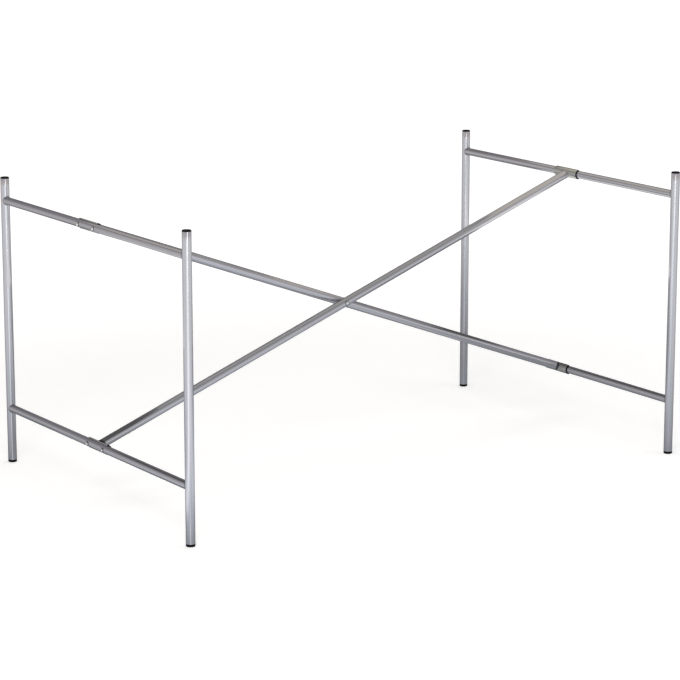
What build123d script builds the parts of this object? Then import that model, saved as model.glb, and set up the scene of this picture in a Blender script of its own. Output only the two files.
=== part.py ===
from build123d import *
import math
import os

os.makedirs("parts", exist_ok=True)

# Millimetres. X runs along the table, Y from front (-) to back (+), Z up from the floor.

# Where the tubes run
frame_height = 660.0
leg_spacing_long = 1290.0
leg_spacing_deep = 790.0
upper_rail_height = 607.0
lower_rail_height = 127.0

# Round steel tubes
leg_radius = 10.0
rail_radius = 9.0
brace_radius = 10.0
tube_wall = 1.5
weld_leg = 2.0
weld_toe = 0.3

# Half-round saddles that hold the braces to the rails
saddle_wall = 2.5
saddle_length = 82.0

# Button-head bolt and hexagon nut where the braces cross
bolt_radius = 3.0
bolt_hole_radius = 3.3
bolt_run_out = 1.5
head_radius = 5.5
head_height = 3.3
head_crown_radius = 3.4
nut_across_flats = 10.0
nut_height = 5.0

# The braces lie side by side with a washer between them
spacer_thickness = 2.0
spacer_radius = 7.0

# Plastic plugs in the ends of the legs
cap_flange = 3.0
cap_shank = 16.0
foot_flange = 6.0
foot_edge = 1.0
foot_shank = 24.0
plug_fit = 0.1
plug_fin = 2.0

leg_x = leg_spacing_long / 2
leg_y = leg_spacing_deep / 2
saddle_radius = rail_radius + saddle_wall
brace_offset = brace_radius + spacer_thickness / 2
brace_drop = upper_rail_height - lower_rail_height
brace_run = math.hypot(leg_spacing_long, brace_drop)
crossing_height = (upper_rail_height + lower_rail_height) / 2

side_signs = {"left": -1, "right": 1}
place_signs = {"front": -1, "back": 1}
rail_heights = {"upper": upper_rail_height, "lower": lower_rail_height}

# The rear brace falls from left to right, and the front brace rises
brace_side = {"rear": 1, "front": -1}
brace_slope = {"rear": -1, "front": 1}


def save(piece, node):
    piece.part.label = node
    export_step(piece.part, f"parts/{node}.step")


def brace_at_rail(side, level):
    # The rear brace starts high on the left and ends low on the right
    rear = (side == "left") == (level == "upper")
    return brace_side["rear" if rear else "front"] * brace_offset


def make_leg(x, y):
    top = frame_height - cap_flange
    with BuildPart() as leg:
        with BuildSketch(Plane((x, y, foot_flange))):
            Circle(leg_radius)
            Circle(leg_radius - tube_wall, mode=Mode.SUBTRACT)
        extrude(amount=top - foot_flange)
    return leg


def make_rail(x, height):
    along = Plane(origin=(x, 0, height), x_dir=(1, 0, 0), z_dir=(0, -1, 0))
    stub = 3 * rail_radius
    leg_footprint = Plane((x, 0, height - stub))
    with BuildPart() as rail:
        with BuildSketch(along):
            Circle(rail_radius)
        extrude(amount=leg_y, both=True)
        # The weld fills the corner round each end, and stops square at its toe on the leg
        with BuildSketch(leg_footprint):
            with Locations((0, leg_y), (0, -leg_y)):
                Circle(leg_radius - weld_toe)
        extrude(amount=2 * stub)
        chamfer(rail.edges().filter_by(GeomType.BSPLINE), length=weld_leg)
        with BuildSketch(along):
            Circle(rail_radius - tube_wall)
        extrude(amount=leg_y, both=True, mode=Mode.SUBTRACT)
        with BuildSketch(leg_footprint):
            with Locations((0, leg_y), (0, -leg_y)):
                Circle(leg_radius)
        extrude(amount=2 * stub, mode=Mode.SUBTRACT)
    return rail


def make_brace(y, slope):
    run_direction = (leg_spacing_long, 0, slope * brace_drop)
    along = Plane(origin=(0, y, crossing_height), x_dir=(0, 1, 0), z_dir=run_direction)
    seats = []
    for end in (-1, 1):
        rail_point = (end * leg_x, y + saddle_length / 2, crossing_height + end * slope * brace_drop / 2)
        seats.append(Plane(origin=rail_point, x_dir=Vector(*run_direction) * end, z_dir=(0, -1, 0)))
    with BuildPart() as brace:
        with BuildSketch(along):
            Circle(brace_radius)
        extrude(amount=brace_run / 2, both=True)
        # The weld fills the corner round each end, and stops square at its toe on the saddle
        with BuildSketch(*seats):
            Circle(saddle_radius - weld_toe)
        extrude(amount=saddle_length)
        chamfer(brace.edges().filter_by(GeomType.BSPLINE), length=weld_leg)
        with BuildSketch(along):
            Circle(brace_radius - tube_wall)
        extrude(amount=brace_run / 2, both=True, mode=Mode.SUBTRACT)
        with BuildSketch(*seats):
            Circle(saddle_radius)
        extrude(amount=saddle_length, mode=Mode.SUBTRACT)
        with BuildSketch(Plane(origin=(0, y, crossing_height), x_dir=(1, 0, 0), z_dir=(0, -1, 0))):
            Circle(bolt_hole_radius)
        extrude(amount=brace_radius, both=True, mode=Mode.SUBTRACT)
    return brace


def make_saddle(x, y, height, inward):
    section = Plane(origin=(x, y, height), x_dir=(inward, 0, 0), z_dir=(0, -inward, 0))
    across = 2 * saddle_radius
    with BuildPart() as saddle:
        with BuildSketch(section):
            Circle(saddle_radius)
            Circle(rail_radius, mode=Mode.SUBTRACT)
            Rectangle(across, across, align=(Align.MAX, Align.CENTER), mode=Mode.SUBTRACT)
        extrude(amount=saddle_length / 2, both=True)
    return saddle


def make_plug(x, y, seat_height, inward, flange, shank):
    # The flange closes the tube's end, and crossed fins hold it in the bore
    bore_radius = leg_radius - tube_wall - plug_fit
    with BuildPart() as plug:
        with BuildSketch(Plane((x, y, seat_height))):
            Circle(leg_radius)
        extrude(amount=-inward * flange)
        if inward > 0:
            # A foot's sole is bevelled so that it slides without catching
            chamfer(plug.faces().sort_by(Axis.Z)[0].edges(), length=foot_edge)
        with BuildSketch(Plane((x, y, seat_height))):
            Rectangle(2 * bore_radius, plug_fin)
            Rectangle(plug_fin, 2 * bore_radius)
        extrude(amount=inward * shank)
    return plug


for side, side_sign in side_signs.items():
    x = side_sign * leg_x
    for place, place_sign in place_signs.items():
        y = place_sign * leg_y
        save(make_leg(x, y), f"{side}_{place}_leg")
        cap_seat = frame_height - cap_flange
        save(make_plug(x, y, cap_seat, -1, cap_flange, cap_shank), f"{side}_{place}_cap")
        save(make_plug(x, y, foot_flange, 1, foot_flange, foot_shank), f"{side}_{place}_foot")
    for level, height in rail_heights.items():
        save(make_rail(x, height), f"{side}_{level}_rail")
        save(make_saddle(x, brace_at_rail(side, level), height, -side_sign), f"{side}_{level}_saddle")

for name, sign in brace_side.items():
    save(make_brace(sign * brace_offset, brace_slope[name]), f"{name}_brace")

# The bolt at the crossing has its head towards the front
bolt_reach = brace_offset + brace_radius
bolt_end = bolt_reach + nut_height + bolt_run_out
head_top = bolt_reach + head_height
with BuildPart() as bolt:
    # Local y points to the front, along the bolt
    with BuildSketch(Plane(origin=(0, 0, crossing_height), x_dir=(1, 0, 0), z_dir=(0, 0, -1))):
        with BuildLine():
            Polyline(
                (0, -bolt_end),
                (bolt_radius, -bolt_end),
                (bolt_radius, bolt_reach),
                (head_radius, bolt_reach),
                (head_crown_radius, head_top),
                (0, head_top),
                close=True,
            )
        make_face()
    revolve(axis=Axis((0, 0, crossing_height), (0, 1, 0)))
save(bolt, "crossing_bolt")

with BuildPart() as nut:
    with BuildSketch(Plane(origin=(0, bolt_reach, crossing_height), x_dir=(0, 0, 1), z_dir=(0, 1, 0))):
        RegularPolygon(nut_across_flats / 2, 6, major_radius=False)
        Circle(bolt_radius, mode=Mode.SUBTRACT)
    extrude(amount=nut_height)
save(nut, "crossing_nut")

spacer_back = Plane(origin=(0, spacer_thickness / 2, crossing_height), x_dir=(1, 0, 0), z_dir=(0, -1, 0))
with BuildPart() as spacer:
    with BuildSketch(spacer_back):
        Circle(spacer_radius)
        Circle(bolt_hole_radius, mode=Mode.SUBTRACT)
    extrude(amount=spacer_thickness)
save(spacer, "crossing_spacer")
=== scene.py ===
import math

import bmesh
import bpy
from mathutils import Matrix, Vector


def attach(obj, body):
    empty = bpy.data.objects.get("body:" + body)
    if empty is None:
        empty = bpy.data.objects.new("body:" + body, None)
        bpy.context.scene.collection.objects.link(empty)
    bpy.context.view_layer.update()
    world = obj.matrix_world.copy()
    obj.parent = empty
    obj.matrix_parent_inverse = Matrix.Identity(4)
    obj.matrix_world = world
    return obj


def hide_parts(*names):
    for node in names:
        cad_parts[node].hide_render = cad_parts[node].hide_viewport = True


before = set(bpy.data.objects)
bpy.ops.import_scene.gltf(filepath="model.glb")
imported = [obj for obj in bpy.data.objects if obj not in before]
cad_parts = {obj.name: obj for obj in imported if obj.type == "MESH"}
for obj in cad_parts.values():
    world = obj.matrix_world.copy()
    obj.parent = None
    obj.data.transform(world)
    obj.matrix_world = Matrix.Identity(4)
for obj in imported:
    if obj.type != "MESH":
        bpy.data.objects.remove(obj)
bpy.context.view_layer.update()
scene = bpy.context.scene
print("frame loaded:", len(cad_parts), "pieces")

# metres, X along the table, Y from front to back, Z up
frameSize = {"legX": 0.645, "legY": 0.395, "upper": 0.607, "lower": 0.127, "braceY": 0.011,
             "crossing": 0.367}
sides = {"left": -1, "right": 1}
places = {"front": -1, "back": 1}
levels = {"upper": frameSize["upper"], "lower": frameSize["lower"]}


def join(tree, socket, value):
    if isinstance(value, Wire):
        tree.links.new(value.socket, socket)
    else:
        socket.default_value = value


def combine(tree, operation, first, second):
    node = tree.nodes.new("ShaderNodeMath")
    node.operation = operation
    join(tree, node.inputs[0], first)
    join(tree, node.inputs[1], second)
    return Wire(tree, node.outputs[0])


class Wire:
    # one value in a material, for sums written as Python
    def __init__(self, tree, socket):
        self.tree = tree
        self.socket = socket

    def __add__(self, other):
        return combine(self.tree, "ADD", self, other)

    def __radd__(self, other):
        return combine(self.tree, "ADD", other, self)

    def __sub__(self, other):
        return combine(self.tree, "SUBTRACT", self, other)

    def __rsub__(self, other):
        return combine(self.tree, "SUBTRACT", other, self)

    def __mul__(self, other):
        return combine(self.tree, "MULTIPLY", self, other)

    def __truediv__(self, other):
        return combine(self.tree, "DIVIDE", self, other)

    def __pow__(self, other):
        return combine(self.tree, "POWER", self, other)

    def __abs__(self):
        return combine(self.tree, "ABSOLUTE", self, 0.0)

    def __gt__(self, other):
        return combine(self.tree, "GREATER_THAN", self, other)

    def atLeast(self, other):
        return combine(self.tree, "MAXIMUM", self, other)


class Finish:
    # the nodes of a material, or of the world
    def __init__(self, owner):
        owner.use_nodes = True
        self.owner = owner
        self.tree = owner.node_tree
        self.shader = self.tree.nodes.get("Principled BSDF")

    def node(self, kind, settings=None, inputs=None, output=0):
        node = self.tree.nodes.new(kind)
        for name, value in (settings or {}).items():
            if name == "stops":
                ramp = node.color_ramp.elements
                ramp[0].position, ramp[0].color = value[0]
                ramp[1].position, ramp[1].color = value[-1]
                for position, colour in value[1:-1]:
                    ramp.new(position).color = colour
            else:
                setattr(node, name, value)
        for name, value in (inputs or {}).items():
            join(self.tree, node.inputs[name], value)
        return Wire(self.tree, node.outputs[output])

    def set(self, **values):
        # a plain value goes straight on the shader's own socket
        for name, value in values.items():
            join(self.tree, self.shader.inputs[name.replace("_", " ")], value)

    def attribute(self, name):
        return self.node("ShaderNodeAttribute", {"attribute_name": name}, output=2)

    def place(self, stretch=(1, 1, 1)):
        spot = self.node("ShaderNodeAttribute", {"attribute_name": "localPlace"}, output=1)
        return self.node("ShaderNodeMapping", {"vector_type": "POINT"}, {"Vector": spot, "Scale": stretch})

    def noise(self, where, kind):
        scale, detail, rough = kind
        return self.node("ShaderNodeTexNoise", None,
                         {"Vector": where, "Scale": scale, "Detail": detail, "Roughness": rough})

    def blend(self, factor, first, second):
        return self.node("ShaderNodeMix", {"data_type": "RGBA"}, {0: factor, 6: first, 7: second}, output=2)

    def bump(self, height):
        return self.node("ShaderNodeBump", None, {"Height": height, "Distance": 1.0, "Strength": 1.0})

    def vectors(self, operation, first, second=(0, 0, 0), output="Vector"):
        return self.node("ShaderNodeVectorMath", {"operation": operation}, {0: first, 1: second}, output)

    def axis(self, vector, name):
        return self.node("ShaderNodeSeparateXYZ", None, {"Vector": vector}, name)

    def spread(self, value, low, high, first, last):
        return self.node("ShaderNodeMapRange", {"interpolation_type": "SMOOTHSTEP"},
                         {"Value": value, "From Min": low, "From Max": high, "To Min": first, "To Max": last})

    def rays(self, *names):
        path = self.tree.nodes.new("ShaderNodeLightPath")
        found = [Wire(self.tree, path.outputs[name]) for name in names]
        return sum(found[1:], found[0])


def newFinish(name):
    return Finish(bpy.data.materials.new(name))


# in every finish a noise is (scale, detail, roughness), and a depth is in metres

# satin silver coat on the tubes: metal grain, faint drawn lines and a thin clear layer; the weld is rippled
# and rougher, and the weld and the first millimetres beside it are darkened as painted shade in the corner
# where the tube meets the bar
silverCoat = {"light": (0.71, 0.72, 0.75, 1), "dark": (0.62, 0.63, 0.665, 1), "metallic": 1.0,
              "edgeTint": (0.42, 0.43, 0.45, 1), "coat": 0.10, "coatRoughness": 0.15,
              "roughness": 0.15, "cloudRoughness": 0.08, "weldRoughness": 0.12,
              "clouds": (22, 4, 0.6), "cloudShare": 0.55,
              "grain": (2600, 3, 0.6), "grainShare": 0.3, "grainDepth": 0.000009,
              "lines": (900, 3, 0.6), "lineShare": 0.15, "lineDepth": 0.000008, "lineStretch": (1, 1, 0.03),
              "weldCornerShade": (0.045, 0.045, 0.05, 1), "cornerShadeShare": 0.70, "cornerShadeClouds": 0.4,
              "weldDepth": 0.00012, "cornerShadeFull": 0.0026, "cornerShadeReach": 0.0060}


def makeSilverCoat():
    finish = newFinish("satinSilverCoat")
    grain = finish.noise(finish.place(), silverCoat["grain"])
    clouds = finish.noise(finish.place(), silverCoat["clouds"])
    lines = finish.noise(finish.place(silverCoat["lineStretch"]), silverCoat["lines"])
    endGap = finish.attribute("endGap")
    # painted shade: the corner where the tube meets the bar is darkened, most next to the bar; the same mask
    # gives the weld its roughness and ripple
    nearBar = finish.spread(endGap, silverCoat["cornerShadeFull"], silverCoat["cornerShadeReach"], 1.0, 0.0)
    weld = nearBar * finish.attribute("burnt")
    mixed = clouds * silverCoat["cloudShare"] + grain * silverCoat["grainShare"]
    mixed = mixed + lines * silverCoat["lineShare"]
    tone = finish.blend(mixed, silverCoat["dark"], silverCoat["light"])
    tone = finish.blend(weld * (silverCoat["cornerShadeShare"] + clouds * silverCoat["cornerShadeClouds"]),
                        tone, silverCoat["weldCornerShade"])
    roughness = silverCoat["roughness"] + clouds * silverCoat["cloudRoughness"]
    roughness = roughness + weld * silverCoat["weldRoughness"]
    height = grain * silverCoat["grainDepth"] + lines * silverCoat["lineDepth"]
    height = height + finish.attribute("weldRipple") * weld * silverCoat["weldDepth"]
    finish.set(Base_Color=tone, Metallic=silverCoat["metallic"], Specular_Tint=silverCoat["edgeTint"],
               Roughness=roughness, Coat_Weight=silverCoat["coat"],
               Coat_Roughness=silverCoat["coatRoughness"], Normal=finish.bump(height))
    return finish.owner


# bright plated steel of the saddles, which are half shells; their end faces are painted near black as painted
# shade
saddle = {"inner": 0.009, "outer": 0.0115, "length": 0.082, "edge": 0.0006, "edgeSteps": 3, "sharp": 60,
          "around": 56}
# the cut colour is painted shade: near black on the saddle's end faces
brightPlate = {"light": (0.74, 0.76, 0.72, 1), "dark": (0.46, 0.48, 0.44, 1), "cut": (0.03, 0.03, 0.032, 1),
               "endShadeShare": 0.8, "metallic": 1.0, "edgeTint": (0.60, 0.60, 0.60, 1),
               "roughness": 0.16, "cloudRoughness": 0.14, "clouds": (55, 4, 0.6), "cloudShare": 0.7,
               "brush": (1400, 3, 0.65), "brushShare": 0.3, "brushDepth": 0.000012,
               "brushStretch": (1, 1, 0.04)}


def makeBrightPlate():
    finish = newFinish("brightPlatedSteel")
    brushed = finish.noise(finish.place(brightPlate["brushStretch"]), brightPlate["brush"])
    clouds = finish.noise(finish.place(), brightPlate["clouds"])
    along = finish.axis(finish.place(), "Z")
    # painted shade: the end faces of the shell turn near black
    shadedEnds = abs(along) > saddle["length"] / 2 - saddle["edge"] * brightPlate["endShadeShare"]
    tone = finish.blend(clouds * brightPlate["cloudShare"] + brushed * brightPlate["brushShare"],
                        brightPlate["dark"], brightPlate["light"])
    finish.set(Base_Color=finish.blend(shadedEnds, tone, brightPlate["cut"]), Metallic=brightPlate["metallic"],
               Specular_Tint=brightPlate["edgeTint"],
               Roughness=brightPlate["roughness"] + clouds * brightPlate["cloudRoughness"],
               Normal=finish.bump(brushed * brightPlate["brushDepth"]))
    return finish.owner


# zinc on screws, nut and washer: fine blotches, a turned grain, and painted shade at the rim and step of a
# head and on all that lies farther from the axis
zincPlate = {"light": (0.93, 0.93, 0.93, 1), "dark": (0.82, 0.82, 0.83, 1), "rimShade": (0.10, 0.10, 0.105, 1),
             "rimShadeStart": 0.0043, "rimShadeReach": 0.0005, "metallic": 1.0, "roughness": 0.14,
             "blotchRoughness": 0.2, "blotches": (480, 4, 0.6), "turned": (4200, 2, 0.5),
             "turnedDepth": 0.000008}


def makeZincPlate(name, ownPlace=True):
    finish = newFinish(name)
    if ownPlace:
        here = finish.place()
    else:
        here = finish.node("ShaderNodeTexCoord", output="Object")
    blotches = finish.noise(here, zincPlate["blotches"])
    turned = finish.noise(here, zincPlate["turned"])
    fromAxis = finish.vectors("LENGTH", finish.vectors("MULTIPLY", here, (1, 1, 0)), output="Value")
    # painted shade: near black beyond a set distance from the axis
    start = zincPlate["rimShadeStart"]
    rimShade = finish.spread(fromAxis, start, start + zincPlate["rimShadeReach"], 0.0, 1.0)
    tone = finish.blend(blotches, zincPlate["dark"], zincPlate["light"])
    finish.set(Base_Color=finish.blend(rimShade, tone, zincPlate["rimShade"]), Metallic=zincPlate["metallic"],
               Roughness=zincPlate["roughness"] + blotches * zincPlate["blotchRoughness"],
               Normal=finish.bump(turned * zincPlate["turnedDepth"]))
    return finish.owner


# moulded black plastic of the caps and feet, scuffed where it carries the top or stands on the floor
blackPlastic = {"light": (0.009, 0.009, 0.010, 1), "dark": (0.004, 0.004, 0.0045, 1),
                "scuff": (0.030, 0.029, 0.028, 1), "sheen": 0.08, "clouds": (160, 4, 0.6),
                "roughness": 0.50, "grainRoughness": 0.12, "scuffRoughness": 0.2,
                "grain": (2200, 2, 0.5), "grainDepth": 0.00003}


def makeBlackPlastic():
    finish = newFinish("mouldedBlackPlastic")
    grain = finish.noise(finish.place(), blackPlastic["grain"])
    clouds = finish.noise(finish.place(), blackPlastic["clouds"])
    scuff = finish.attribute("scuffZone")
    tone = finish.blend(clouds, blackPlastic["dark"], blackPlastic["light"])
    roughness = blackPlastic["roughness"] + grain * blackPlastic["grainRoughness"]
    finish.set(Base_Color=finish.blend(scuff * clouds, tone, blackPlastic["scuff"]),
               Specular_IOR_Level=blackPlastic["sheen"],
               Roughness=roughness + scuff * blackPlastic["scuffRoughness"],
               Normal=finish.bump(grain * blackPlastic["grainDepth"]))
    return finish.owner


silver = makeSilverCoat()
plate = makeBrightPlate()
zinc = makeZincPlate("brightZincPlate")
plastic = makeBlackPlastic()
print("finishes made")


def loopEdges(verts):
    # in a steady order, so that each run makes the same faces
    inside = set(verts)
    near = dict.fromkeys(edge for vert in verts for edge in vert.link_edges)
    return [edge for edge in near if edge.verts[0] in inside and edge.verts[1] in inside]


def ring(bm, around, radius, height, flats=0.0):
    # a closed loop, round or drawn out to six flats, always with the same count of points
    verts = bmesh.ops.create_circle(bm, segments=around, radius=radius or flats / 2)["verts"]
    for vert in verts:
        if flats:
            vert.co /= math.cos(math.atan2(vert.co.y, vert.co.x) % (math.pi / 3) - math.pi / 6)
        vert.co.z = height
    return verts


def bridge(bm, loops, closed):
    edges = [loopEdges(loop) for loop in loops]
    pairs = list(zip(edges, edges[1:]))
    if closed:
        pairs.append((edges[-1], edges[0]))
    for first, second in pairs:
        bmesh.ops.bridge_loops(bm, edges=first + second)
    if not closed:
        for loop in (edges[0], edges[-1]):
            bmesh.ops.contextual_create(bm, geom=loop)
    bmesh.ops.recalc_face_normals(bm, faces=bm.faces)


def stacked(around, rings, closed=False):
    # rings are (radius, height) or (0, height, across flats), in order along the skin
    bm = bmesh.new()
    bridge(bm, [ring(bm, around, *size) for size in rings], closed)
    return bm


def pointAttribute(bm, name, value):
    layer = bm.verts.layers.float.new(name)
    for vert in bm.verts:
        vert[layer] = value(vert.co)


def finishPiece(bm, name, node, material, where, crease=38):
    for face in bm.faces:
        face.smooth = True
    for edge in bm.edges:
        if len(edge.link_faces) == 2 and edge.calc_face_angle(0) > math.radians(crease):
            edge.smooth = False
    layer = bm.verts.layers.float_vector.new("localPlace")
    for vert in bm.verts:
        vert[layer] = vert.co
    bmesh.ops.transform(bm, matrix=where, verts=bm.verts)
    mesh = bpy.data.meshes.new(name)
    bm.to_mesh(mesh)
    bm.free()
    mesh.materials.append(material)
    piece = bpy.data.objects.new(name, mesh)
    scene.collection.objects.link(piece)
    if node:
        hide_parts(node)
    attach(piece, "root")


def standing(origin, alongX, alongZ):
    # a matrix that puts local x and z on two world directions at right angles
    z = Vector(alongZ).normalized()
    x = Vector(alongX).normalized()
    y = z.cross(x)
    turn = Matrix((x, y, z)).transposed().to_4x4()
    return Matrix.Translation(Vector(origin)) @ turn


# legs: round tube, the cut ends broken by a small bevel, with a ring of points near each end
legTube = {"radius": 0.010, "wall": 0.0015, "bottom": 0.006, "top": 0.657, "edge": 0.0004, "edgeBulge": 0.3,
           "endBand": 0.02, "around": 96}


def makeLeg(side, place):
    outer, inner, cut = legTube["radius"], legTube["radius"] - legTube["wall"], legTube["edge"]
    low, high, band, bulge = legTube["bottom"], legTube["top"], legTube["endBand"], cut * legTube["edgeBulge"]
    rings = [(inner, low), (outer - cut, low), (outer - bulge, low + bulge), (outer, low + cut),
             (outer, low + band), (outer, high - band),
             (outer, high - cut), (outer - bulge, high - bulge), (outer - cut, high), (inner, high)]
    bm = stacked(legTube["around"], rings, closed=True)
    spot = (sides[side] * frameSize["legX"], places[place] * frameSize["legY"], 0)
    finishPiece(bm, f"{side}_{place}_leg_tube", f"{side}_{place}_leg", silver,
                Matrix.Translation(spot))


# caps and feet: moulded plugs whose ribbed shanks sit in the bore; a profile's points are
# (inset from the radius, depth below the outer face), and scuff is (amount, start, reach)
capPlug = {"radius": 0.010, "flange": 0.003, "shank": 0.016, "bore": 0.0084, "ribs": 4, "around": 72,
           "seat": legTube["top"], "up": 1, "scuff": (0.35, 0.0004, 0.0004),
           "profile": ((0.0070, 0.0), (0.0040, 0.00003), (0.0016, 0.00012), (0.0009, 0.00032),
                       (0.0004, 0.0007), (0.0001, 0.0012), (0.0, 0.0017), (0.0, 0.0027))}
footPlug = {"radius": 0.010, "flange": 0.006, "shank": 0.024, "bore": 0.0084, "ribs": 5, "around": 72,
            "seat": legTube["bottom"], "up": -1, "scuff": (1.0, 0.0022, 0.0020),
            "profile": ((0.0070, 0.0008), (0.0066, 0.0006), (0.0062, 0.0001), (0.0058, 0.0),
                        (0.0022, 0.0), (0.0014, 0.00015), (0.0007, 0.0006), (0.0002, 0.0012), (0.0, 0.0019),
                        (0.0, 0.0051), (0.00025, 0.0054), (0.00025, 0.0057))}
shankRib = {"lip": 0.0003, "start": 0.35, "depth": 0.0006, "ramp": 0.0012, "length": 0.0020, "lead": 0.001}


def makePlug(kind, size, side, place):
    radius, bore, high = size["radius"], size["bore"], size["flange"]
    rings = [(radius - inset, high - depth) for inset, depth in size["profile"]]
    rings += [(radius - shankRib["lip"], 0), (bore, 0)]
    for rib in range(size["ribs"]):
        start = size["shank"] * (rib + shankRib["start"]) / size["ribs"]
        rings += [(bore - shankRib["depth"], -start), (bore, -start - shankRib["ramp"]),
                  (bore, -start - shankRib["length"])]
    rings.append((bore - shankRib["lead"], -size["shank"]))
    bm = stacked(size["around"], rings)
    amount, start, reach = size["scuff"]
    pointAttribute(bm, "scuffZone",
                   lambda point: amount * max(0.0, min(1.0, (point.z - high + start) / reach)))
    spot = (sides[side] * frameSize["legX"], places[place] * frameSize["legY"], size["seat"])
    finishPiece(bm, f"{side}_{place}_{kind}_moulded", f"{side}_{place}_{kind}", plastic,
                standing(spot, (1, 0, 0), (0, 0, size["up"])))


for side in sides:
    for place in places:
        makeLeg(side, place)
        makePlug("cap", capPlug, side, place)
        makePlug("foot", footPlug, side, place)
print("legs, caps and feet made")

# rails and braces: tube whose ends are cut to the curve they meet, with a weld in the corner;
# the low and high values say how strongly the painted corner shade shows at the low end and at the high end
railTube = {"radius": 0.009, "wall": 0.0015, "weld": 0.0022, "weldSteps": 7, "ripples": 30,
            "endBand": 0.03, "around": 120, "cornerShadeLow": 0.25, "cornerShadeHigh": 0.25}
braceTube = {"radius": 0.010, "wall": 0.0015, "weld": 0.0022, "weldSteps": 7, "ripples": 30,
             "endBand": 0.03, "around": 120, "cornerShadeLow": 1.0, "cornerShadeHigh": 0.35}
braceSlopes = {"rear": -1, "front": 1}


def copedTube(size, length, hostRadius, lowEnd):
    # the tube lies along z, and the round bars it meets lie along x at both ends
    radius, weld, around = size["radius"], size["weld"], size["around"]
    bm = bmesh.new()

    def weldPoint(vert, step, end):
        # a ball of the weld's radius rolls in the corner, and the skin follows it
        cosine, sine = vert.co.x / radius, vert.co.y / radius
        reach = hostRadius + weld
        centre = Vector(((radius + weld) * cosine, (radius + weld) * sine, 0))
        drop = math.sqrt(reach ** 2 - centre.y ** 2)
        toTube = Vector((-cosine, -sine, 0))
        toHost = Vector((0, -centre.y / reach, drop / reach))
        spot = centre + weld * toTube.slerp(toHost, step)
        return Vector((spot.x, spot.y, end * (length / 2 - drop + spot.z)))

    def weldRing(step, end):
        verts = ring(bm, around, radius, 0)
        for vert in verts:
            vert.co = weldPoint(vert, step, end)
        return verts

    def boreRing(end):
        verts = ring(bm, around, radius - size["wall"], 0)
        for vert in verts:
            vert.co.z = end * (length / 2 - math.sqrt(hostRadius ** 2 - vert.co.y ** 2))
        return verts

    def endGap(point):
        # how far a point is from the bar's skin, along the tube
        sideways = min(abs(point.y), hostRadius)
        return length / 2 - abs(point.z) - math.sqrt(hostRadius ** 2 - sideways ** 2)

    steps = [step / size["weldSteps"] for step in range(size["weldSteps"] + 1)]
    plain = length / 2 - size["endBand"]
    loops = [weldRing(step, -1) for step in reversed(steps)]
    loops += [ring(bm, around, radius, height) for height in (-plain, 0, plain)]
    loops += [weldRing(step, 1) for step in steps]
    loops += [boreRing(1), boreRing(-1)]
    bridge(bm, loops, closed=True)
    # strength of the painted shade in the weld corner, at each end
    pointAttribute(bm, "burnt",
                   lambda point: size["cornerShadeLow"] if point.z * lowEnd > 0 else size["cornerShadeHigh"])
    pointAttribute(bm, "endGap", endGap)
    pointAttribute(bm, "weldRipple",
                   lambda point: 0.5 + 0.5 * math.sin(math.atan2(point.y, point.x) * size["ripples"]))
    return bm


def braceYAt(side, level):
    # the rear brace starts high on the left and ends low on the right
    return frameSize["braceY"] * (1 if (side == "left") == (level == "upper") else -1)


for side in sides:
    for level, height in levels.items():
        bm = copedTube(railTube, 2 * frameSize["legY"], legTube["radius"], 1)
        where = standing((sides[side] * frameSize["legX"], 0, height), (0, 0, 1), (0, 1, 0))
        finishPiece(bm, f"{side}_{level}_rail_tube", f"{side}_{level}_rail", silver, where)

for name, slope in braceSlopes.items():
    run = Vector((2 * frameSize["legX"], 0, slope * (levels["upper"] - levels["lower"])))
    bm = copedTube(braceTube, run.length, saddle["outer"], -slope)
    where = standing((0, -slope * frameSize["braceY"], frameSize["crossing"]), (0, 1, 0), run)
    finishPiece(bm, f"{name}_brace_tube", f"{name}_brace", silver, where)
print("rails and braces made")


def makeSaddle(side, level):
    # a half shell of plate round the rail's inner side, its edges broken
    bm = bmesh.new()
    inner, outer, half = saddle["inner"], saddle["outer"], saddle["length"] / 2
    section = ((inner, -half), (outer, -half), (outer, half), (inner, half))
    corners = [bm.verts.new((0, radius, z)) for radius, z in section]
    edges = [bm.edges.new((corners[count], corners[(count + 1) % 4])) for count in range(4)]
    bmesh.ops.spin(bm, geom=corners + edges, cent=(0, 0, 0), axis=(0, 0, 1), angle=-math.pi,
                   steps=saddle["around"], use_merge=False, use_duplicate=False)
    bmesh.ops.holes_fill(bm, edges=[edge for edge in bm.edges if len(edge.link_faces) == 1], sides=0)
    bmesh.ops.recalc_face_normals(bm, faces=bm.faces)
    sharp = [edge for edge in bm.edges if edge.calc_face_angle(0) > math.radians(saddle["sharp"])]
    bmesh.ops.bevel(bm, geom=sharp, offset=saddle["edge"], offset_type="OFFSET",
                    segments=saddle["edgeSteps"], profile=0.5, affect="EDGES", material=-1)
    where = standing((sides[side] * frameSize["legX"], braceYAt(side, level), levels[level]),
                     (-sides[side], 0, 0), (0, 1, 0))
    finishPiece(bm, f"{side}_{level}_saddle_plate", f"{side}_{level}_saddle", plate, where)


# flanged button-head screws with a hexagon socket, and a hexagon nut with turned corners; the thread is
# placed in pitches from the tip, and the tip's points are (inset from the shank, distance from the end)
screw = {"head": 0.0046, "height": 0.0033, "rim": 0.0008, "groove": 0.0003,
         "flange": 0.0055, "flangeDrop": 0.0004, "flangeRound": 0.0003, "flangeEdge": 0.0002,
         "crown": 0.0024, "domeSteps": 7, "domeEase": 1.2,
         "socket": 0.004, "socketDepth": 0.002, "socketCone": 0.0004, "socketPoint": 0.0012,
         "socketTaper": 0.0001, "socketEdge": 0.0003,
         "shank": 0.003, "spacing": 0.066, "shortOf": 0.0004, "pastNut": 0.0015,
         "pitch": 0.001, "threadDepth": 0.0005, "threadStart": 2.4, "threadTurns": (2.2, 1.2),
         "rootAt": 0.25, "crestAt": 0.6, "tip": ((0.0003, 0.0002), (0.0007, 0.0)),
         "crease": 34, "around": 48}
nut = {"flats": 0.010, "height": 0.005, "bore": 0.003, "boreEdge": 0.0004, "face": 0.0048, "slope": 0.55,
       "crease": 25, "around": 48}


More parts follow.
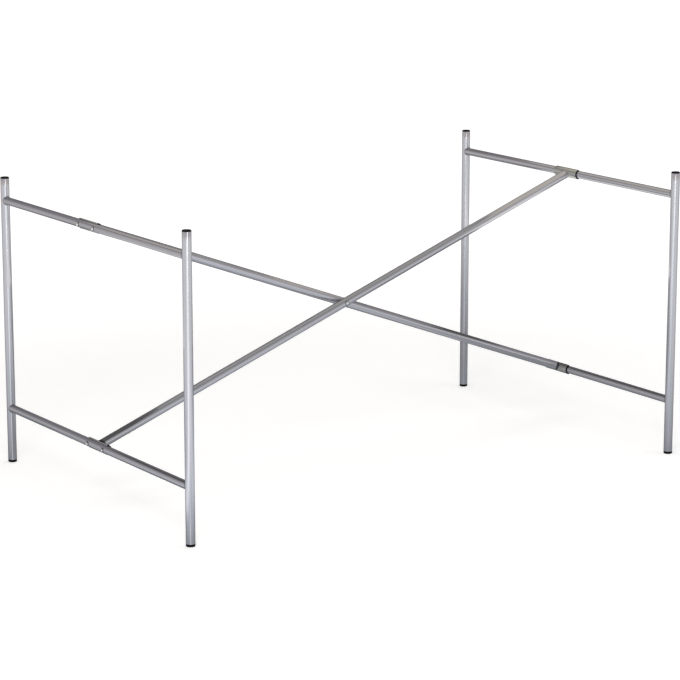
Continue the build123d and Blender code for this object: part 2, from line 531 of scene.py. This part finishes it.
def makeScrew(name, node, seat, direction, length):
    head, top, rim, crown = screw["head"], screw["height"], screw["rim"], screw["crown"]
    floor, socket, taper = top - screw["socketDepth"], screw["socket"], screw["socketTaper"]
    rings = [(0, floor - screw["socketCone"], screw["socketPoint"]), (0, floor, socket - taper),
             (0, top - screw["socketEdge"], socket), (0, top, socket + taper)]
    # the dome is part of a ball between the rim and the flat crown
    middle = (top ** 2 - rim ** 2 - head ** 2 + crown ** 2) / (2 * (top - rim))
    ball = math.hypot(head, rim - middle)
    for step in range(screw["domeSteps"] + 1):
        height = top - (top - rim) * (step / screw["domeSteps"]) ** screw["domeEase"]
        rings.append((math.sqrt(ball ** 2 - (height - middle) ** 2), height))
    flange, edge, bend = screw["flange"], screw["flangeEdge"], screw["flangeRound"]
    face = rim - screw["flangeDrop"]
    shank, pitch, root = screw["shank"], screw["pitch"], screw["shank"] - screw["threadDepth"]
    rings += [(head + edge, rim - screw["groove"]), (flange - bend, face), (flange, face - bend),
              (flange, edge), (flange - edge, 0),
              (shank, 0), (shank, -length + screw["threadStart"] * pitch)]
    for turn in screw["threadTurns"]:
        rings += [(root, -length + (turn - screw["rootAt"]) * pitch),
                  (shank, -length + (turn - screw["crestAt"]) * pitch)]
    rings += [(shank - inset, -length + rise) for inset, rise in screw["tip"]]
    bm = stacked(screw["around"], rings)
    finishPiece(bm, name, node, zinc, standing(seat, (0, 0, 1), direction), screw["crease"])


def makeNut(name, node, seat, direction):
    high, bore, edge = nut["height"], nut["bore"], nut["boreEdge"]
    rings = [(bore + edge, 0), (bore, edge), (bore, high - edge), (bore + edge, high), (nut["face"], high),
             (0, high, nut["flats"]), (0, 0, nut["flats"]), (nut["face"], 0)]
    bm = stacked(nut["around"], rings, closed=True)
    for vert in bm.verts:
        beyond = math.hypot(vert.co.x, vert.co.y) - nut["face"]
        if beyond > 0.0001:
            vert.co.z += nut["slope"] * beyond * (1 if vert.co.z < high / 2 else -1)
    finishPiece(bm, name, node, zinc, standing(seat, (0, 0, 1), direction), nut["crease"])


for side, sign in sides.items():
    for level, height in levels.items():
        makeSaddle(side, level)
        for place, step in places.items():
            # each screw passes through the rail and ends inside the saddle, which is tapped for it
            y = braceYAt(side, level) + step * screw["spacing"] / 2
            seat = (sign * (frameSize["legX"] + railTube["radius"]), y, height)
            makeScrew(f"{side}_{level}_{place}_screw_domed", None, seat, (sign, 0, 0),
                      railTube["radius"] + saddle["outer"] - screw["shortOf"])

boltReach = frameSize["braceY"] + braceTube["radius"]
makeScrew("crossing_bolt_domed", "crossing_bolt", (0, -boltReach, frameSize["crossing"]), (0, -1, 0),
          2 * boltReach + nut["height"] + screw["pastNut"])
makeNut("crossing_nut_hex", "crossing_nut", (0, boltReach, frameSize["crossing"]), (0, 1, 0))
washerZinc = makeZincPlate("washerZincPlate", ownPlace=False)
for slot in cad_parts["crossing_spacer"].material_slots:
    slot.material = washerZinc
print("saddles, screws and nut made")

# plain studio: pale floor and white surroundings, and the floor glows more away from the frame
studio = {"floorColour": (0.84, 0.84, 0.84, 1), "floorRoughness": 0.9, "nearGlow": 0.42, "farGlow": 0.80,
          "nearReach": 0.9, "farReach": 3.0, "worldFill": 0.30, "size": 24}

# what only the tubes mirror: sky by the sine of its height, and floor by its distance from the frame;
# each floor zone has a tone toward the front left corner and one on the far side
mirrored = {"corner": (-0.562, -0.827, 0.0), "turnWidth": 0.45, "turnReach": 0.7,
            "heights": (-0.02, 0.10, 0.35, 0.65, 1.0),
            "skyNear": ((0.60, 0.54, 0.50), (0.55, 0.50, 0.51), (0.44, 0.45, 0.47),
                        (0.32, 0.31, 0.31), (0.16, 0.20, 0.25)),
            "skyFar": ((0.48, 0.44, 0.43), (0.60, 0.57, 0.55), (0.33, 0.31, 0.35),
                       (0.25, 0.22, 0.21), (0.16, 0.20, 0.25)),
            "under": ((0.27, 0.27, 0.27), (0.32, 0.34, 0.36)),
            "open": ((0.54, 0.56, 0.61), (0.31, 0.30, 0.31)),
            "far": ((0.76, 0.76, 0.78), (0.64, 0.61, 0.61)),
            "underShift": (0.085, 0.125, 0.0), "underReach": 0.36, "openReach": 0.8, "farReach": 2.2,
            "height": 0.0012}

# bright paper in front of each leg, which runs down the middle of the leg as a line; left and right
# say how strong it is, and it fades toward the leg's foot
glint = {"toward": (-3.3, -4.9, 0.0), "core": 0.06, "edge": 0.26, "tone": (1.30, 1.30, 1.32, 1),
         "left": 1.0, "right": 0.28, "fadeStart": 0.3, "fadeEnd": 1.5, "atFoot": 0.42, "least": 0.001}
black = (0, 0, 0, 1)
white = (1, 1, 1, 1)


def flatCard(name, width, depth, material):
    bm = bmesh.new()
    bmesh.ops.create_grid(bm, x_segments=1, y_segments=1, size=0.5)
    bmesh.ops.scale(bm, vec=(width, depth, 1), verts=bm.verts)
    mesh = bpy.data.meshes.new(name)
    bm.to_mesh(mesh)
    bm.free()
    mesh.materials.append(material)
    card = bpy.data.objects.new(name, mesh)
    scene.collection.objects.link(card)
    return card


def onlyMirrored(card):
    card.visible_camera = False
    card.visible_diffuse = False
    card.visible_shadow = False
    card.visible_transmission = False


def makeFloor():
    finish = newFinish("paleFloor")
    far = finish.vectors("LENGTH", finish.node("ShaderNodeTexCoord", output="Object"), output="Value")
    glow = finish.spread(far, studio["nearReach"], studio["farReach"],
                         studio["nearGlow"], studio["farGlow"])
    seen = finish.rays("Is Camera Ray", "Is Transmission Ray")
    finish.set(Base_Color=studio["floorColour"], Roughness=studio["floorRoughness"], Specular_IOR_Level=0.0,
               Emission_Color=glow * seen, Emission_Strength=1.0)
    flatCard("studioFloor", studio["size"], studio["size"], finish.owner)


def towardCorner(finish, where, width):
    # one on the near side, zero on the far side
    turned = finish.vectors("DOT_PRODUCT", where, mirrored["corner"], "Value")
    return finish.spread(turned, -width, width, 0.0, 1.0)


def glintZone(finish, where, leg):
    # a wedge that opens from a leg's foot
    ahead = (Vector(glint["toward"]) - leg).normalized()
    beside = Vector((ahead.y, -ahead.x, 0))
    away = finish.vectors("DOT_PRODUCT", where, ahead, "Value") - ahead.dot(leg)
    apart = abs(finish.vectors("DOT_PRODUCT", where, beside, "Value") - beside.dot(leg))
    ratio = apart / away.atLeast(glint["least"])
    inside = finish.spread(ratio, glint["core"], glint["edge"], 1.0, 0.0) * (away > 0.0)
    return inside * finish.spread(away, glint["fadeStart"], glint["fadeEnd"], glint["atFoot"], 1.0)


def makeMirroredFloor():
    # shaded close to each end frame, paler around it, and another tone far away
    finish = newFinish("mirroredFloor")
    spot = finish.node("ShaderNodeTexCoord", output="Object")
    shifted = finish.vectors("SUBTRACT", spot, mirrored["underShift"])
    across = abs(finish.axis(shifted, "X")) - frameSize["legX"]
    along = (abs(finish.axis(shifted, "Y")) - frameSize["legY"]).atLeast(0.0)
    gap = (across * across + along * along) ** 0.5
    near = towardCorner(finish, spot, mirrored["turnReach"])
    under, around, away = [finish.blend(near, (*mirrored[zone][1], 1), (*mirrored[zone][0], 1))
                           for zone in ("under", "open", "far")]
    tone = finish.blend(finish.spread(gap, 0.0, mirrored["underReach"], 0.0, 1.0), under, around)
    far = finish.vectors("LENGTH", spot, output="Value")
    farAway = finish.spread(far, mirrored["openReach"], mirrored["farReach"], 0.0, 1.0)
    tone = finish.blend(farAway, tone, away)
    for side, sign in sides.items():
        for step in places.values():
            leg = Vector((sign * frameSize["legX"], step * frameSize["legY"], 0))
            tone = finish.blend(glintZone(finish, spot, leg) * glint[side], tone, glint["tone"])
    finish.set(Base_Color=black, Specular_IOR_Level=0.0, Emission_Color=tone, Emission_Strength=1.0)
    card = flatCard("mirroredFloor", studio["size"], studio["size"], finish.owner)
    card.data.transform(Matrix.Translation((0, 0, mirrored["height"])))
    onlyMirrored(card)


def makeWorld():
    # white to the eye, and the mirrored sky in reflections
    world = bpy.data.worlds.new("whiteRoom")
    scene.world = world
    room = Finish(world)
    heading = room.node("ShaderNodeTexCoord", output="Generated")
    height = room.axis(heading, "Z") * 0.5 + 0.5
    skies = []
    for side in ("skyFar", "skyNear"):
        tones = zip(mirrored["heights"], mirrored[side])
        stops = [(0.5 + 0.5 * spot, (*colour, 1)) for spot, colour in tones]
        skies.append(room.node("ShaderNodeValToRGB", {"name": side, "stops": stops}, {"Fac": height}))
    sky = room.blend(towardCorner(room, heading, mirrored["turnWidth"]), *skies)
    background = room.tree.nodes["Background"]
    join(room.tree, background.inputs["Color"], room.blend(room.rays("Is Glossy Ray"), white, sky))
    seen = room.rays("Is Camera Ray", "Is Glossy Ray", "Is Transmission Ray")
    join(room.tree, background.inputs["Strength"], studio["worldFill"] + seen * (1 - studio["worldFill"]))


# cards that only reflections see: over and under each upper rail, and one over the middle
sidePanels = {
    "WarmPanel": {"height": 0.90, "facing": -1, "size": (0.34, 1.0),
                  "colour": (1.0, 0.92, 0.82, 1), "level": 0.61},
    "LowCard": {"height": 0.40, "facing": 1, "size": (0.30, 0.66),
                "colour": (1.0, 0.98, 0.97, 1), "level": 0.95},
}
middlePanel = {"height": 1.0, "facing": -1, "size": (0.9, 0.8),
               "colour": (1.0, 0.95, 0.89, 1), "level": 0.42}
backDimming = 0.88


def makePanel(name, panel, x):
    # it shines on one side, and its back is dim
    finish = newFinish(name)
    shining = 1 - finish.node("ShaderNodeNewGeometry", output="Backfacing") * backDimming
    finish.set(Base_Color=black, Specular_IOR_Level=0.0, Emission_Strength=1.0,
               Emission_Color=finish.blend(shining * panel["level"], black, panel["colour"]))
    card = flatCard(name, *panel["size"], finish.owner)
    card.data.transform(standing((x, 0, panel["height"]), (1, 0, 0), (0, 0, panel["facing"])))
    onlyMirrored(card)


# soft lamps, with their power in watts; only the strip shows in reflections
lamps = {
    "keyLamp": {"at": (-2.4, -2.9, 3.0), "to": (0, 0, 0.35), "size": (2.2, 1.6), "power": 70,
                "colour": (1.0, 0.97, 0.93), "mirrored": False},
    "fillLamp": {"at": (3.0, -2.6, 2.2), "to": (0, 0, 0.35), "size": (2.4, 1.8), "power": 24,
                 "colour": (0.92, 0.96, 1.0), "mirrored": False},
    "topLamp": {"at": (0, 0.3, 3.4), "to": (0, 0, 0), "size": (3.0, 2.2), "power": 30,
                "colour": (1.0, 0.96, 0.90), "mirrored": False},
    "stripLamp": {"at": (-1.35, -3.3, 0.75), "to": (0, 0, 0.35), "size": (0.35, 1.5), "power": 5,
                  "colour": (1.0, 1.0, 1.0), "mirrored": True},
}


def makeLamp(name, lamp):
    light = bpy.data.lights.new(name, "AREA")
    light.shape = "RECTANGLE"
    light.size, light.size_y = lamp["size"]
    light.energy = lamp["power"]
    light.color = lamp["colour"]
    holder = bpy.data.objects.new(name, light)
    holder.location = lamp["at"]
    holder.rotation_euler = (Vector(lamp["to"]) - Vector(lamp["at"])).to_track_quat("-Z", "Y").to_euler()
    holder.visible_glossy = lamp["mirrored"]
    scene.collection.objects.link(holder)


makeFloor()
makeMirroredFloor()
makeWorld()
for kind, panel in sidePanels.items():
    for side, sign in sides.items():
        makePanel(f"{side}{kind}", panel, sign * frameSize["legX"])
makePanel("middlePanel", middlePanel, 0)
for name, lamp in lamps.items():
    makeLamp(name, lamp)
print("studio lit")

# long lens from the front left, a little above the frame; angles in degrees, lens in millimetres
view = {"at": (-3.314, -4.866, 1.617), "down": 12.82, "turn": 34.21, "lens": 139.98, "sensor": 36,
        "reach": 100}
camera = bpy.data.cameras.new("studioCamera")
camera.lens = view["lens"]
camera.sensor_width = view["sensor"]
camera.clip_end = view["reach"]
cameraHolder = bpy.data.objects.new("studioCamera", camera)
cameraHolder.location = view["at"]
cameraHolder.rotation_euler = (math.radians(90 - view["down"]), 0, math.radians(-view["turn"]))
scene.collection.objects.link(cameraHolder)
scene.camera = cameraHolder
scene.view_settings.view_transform = "Standard"
print("camera placed")
